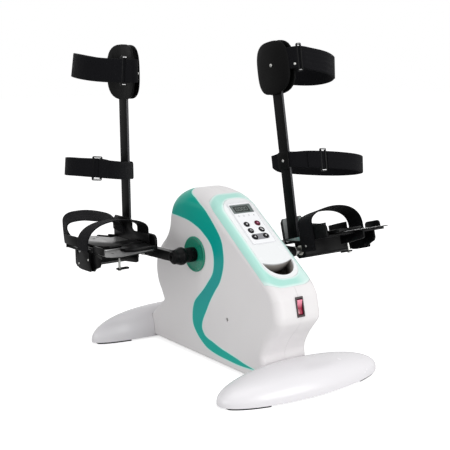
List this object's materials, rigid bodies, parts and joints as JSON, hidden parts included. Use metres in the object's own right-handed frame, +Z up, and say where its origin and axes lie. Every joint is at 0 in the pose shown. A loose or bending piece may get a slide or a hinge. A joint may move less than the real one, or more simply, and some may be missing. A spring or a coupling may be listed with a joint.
{
  "type": "motorized exercise bike",
  "caption": "Low electric pedal exerciser with a sloping console, crossbar feet, cranks and strapped foot pedals carrying upright leg supports.",
  "frame": {"origin": "on the floor, midway between the front and rear edges of the feet, in the middle plane of the housing", "axes": "+Z up, -Y towards the user and the console, X along the crank axle; the left flank is at -X"},
  "size_m": [0.4865, 0.465, 0.5271],
  "materials": {
    "white_shell": "smooth gloss",
    "white_panel": "smooth gloss",
    "mint_plastic": "satin",
    "green_plastic": "satin",
    "display_glass": "glossy",
    "board": "satin",
    "black_plastic": "satin",
    "red_plastic": "gloss, lit from inside",
    "red_rubber": "satin",
    "black_rubber": "satin",
    "pad_rubber": "matt",
    "frame_paint": "semi gloss",
    "bar_paint": "satin powder coat",
    "motor_metal": "cast",
    "steel": "zinc plated",
    "bush_plastic": "smooth",
    "webbing": "woven matt"
  },
  "bodies": {
    "housing": {"base_frame": "frame_paint", "left_shell": "white_shell", "right_shell": "white_shell", "console_surround": "mint_plastic", "console_panel": "white_panel", "label_sheet": "white_panel", "lcd_display": "display_glass", "control_board": "board", "handle_cup": "white_shell", "switch_body": "black_plastic", "power_inlet": "black_plastic", "front_foot": "white_shell", "rear_foot": "white_shell", "front_foot_pad_left": "pad_rubber", "front_foot_pad_right": "pad_rubber", "rear_foot_pad_left": "pad_rubber", "rear_foot_pad_right": "pad_rubber", "gear_motor": "motor_metal", "drive_belt": "pad_rubber", "bearing_left": "steel", "bearing_right": "steel", "axle_cover_left": "green_plastic", "axle_cover_right": "green_plastic"},
    "crankset": {"crank_axle": "steel", "crank_pulley": "black_plastic", "crank_left": "black_plastic", "crank_right": "black_plastic", "pedal_spindle_left": "steel", "pedal_spindle_right": "steel"},
    "motor_drive": {"motor_pulley": "black_plastic"},
    "rocker": {"switch_rocker": "red_plastic"},
    "left_pedal": {"pedal_bush_left": "bush_plastic", "pedal_base_left": "black_plastic", "foot_plate_left": "steel", "instep_strap_left": "webbing", "toe_strap_left": "webbing", "leg_bar_left": "bar_paint", "calf_pad_left": "black_plastic", "calf_strap_left": "webbing", "calf_buckle_left": "black_plastic", "shin_strap_left": "webbing", "shin_buckle_left": "black_plastic"},
    "right_pedal": {"pedal_bush_right": "bush_plastic", "pedal_base_right": "black_plastic", "foot_plate_right": "steel", "instep_strap_right": "webbing", "toe_strap_right": "webbing", "leg_bar_right": "bar_paint", "calf_pad_right": "black_plastic", "calf_strap_right": "webbing", "calf_buckle_right": "black_plastic", "shin_strap_right": "webbing", "shin_buckle_right": "black_plastic"},
    "start_button": {"button_start": "black_rubber"},
    "stop_button": {"button_stop": "red_rubber"},
    "time_button": {"button_time": "black_rubber"},
    "reverse_button": {"button_reverse": "black_rubber"},
    "slower_button": {"button_slower": "black_rubber"},
    "faster_button": {"button_faster": "black_rubber"}
  },
  "joints": [
    {"name": "crank_turn", "type": "hinge", "parent": "housing", "child": "crankset", "pos_m": [0, 0.0375, 0.1764], "axis": [1, 0, 0], "continuous": true},
    {"name": "motor_turn", "type": "hinge", "parent": "housing", "child": "motor_drive", "pos_m": [0, -0.08, 0.0536], "axis": [1, 0, 0], "continuous": true},
    {"name": "rocker_tilt", "type": "hinge", "parent": "housing", "child": "rocker", "pos_m": [0, -0.17402, 0.12513], "axis": [1, 0, 0], "range_deg": [-14, 0]},
    {"name": "left_pedal_turn", "type": "hinge", "parent": "crankset", "child": "left_pedal", "pos_m": [0, 0.13094, 0.17314], "axis": [1, 0, 0], "continuous": true},
    {"name": "right_pedal_turn", "type": "hinge", "parent": "crankset", "child": "right_pedal", "pos_m": [0, -0.05594, 0.17966], "axis": [1, 0, 0], "continuous": true},
    {"name": "start_press", "type": "slide", "parent": "housing", "child": "start_button", "axis": [0, 0.6075, -0.7943], "range_m": [0, 0.0008], "stiffness_N_per_m": 900},
    {"name": "stop_press", "type": "slide", "parent": "housing", "child": "stop_button", "axis": [0, 0.6075, -0.7943], "range_m": [0, 0.0008], "stiffness_N_per_m": 900},
    {"name": "time_press", "type": "slide", "parent": "housing", "child": "time_button", "axis": [0, 0.6075, -0.7943], "range_m": [0, 0.0008], "stiffness_N_per_m": 900},
    {"name": "reverse_press", "type": "slide", "parent": "housing", "child": "reverse_button", "axis": [0, 0.6075, -0.7943], "range_m": [0, 0.0008], "stiffness_N_per_m": 900},
    {"name": "slower_press", "type": "slide", "parent": "housing", "child": "slower_button", "axis": [0, 0.6075, -0.7943], "range_m": [0, 0.0008], "stiffness_N_per_m": 900},
    {"name": "faster_press", "type": "slide", "parent": "housing", "child": "faster_button", "axis": [0, 0.6075, -0.7943], "range_m": [0, 0.0008], "stiffness_N_per_m": 900}
  ],
  "couplings": [
    {"joint": "motor_turn", "follows": "crank_turn", "ratio": 3.6},
    {"joint": "left_pedal_turn", "follows": "crank_turn", "ratio": -1},
    {"joint": "right_pedal_turn", "follows": "crank_turn", "ratio": -1}
  ]
}
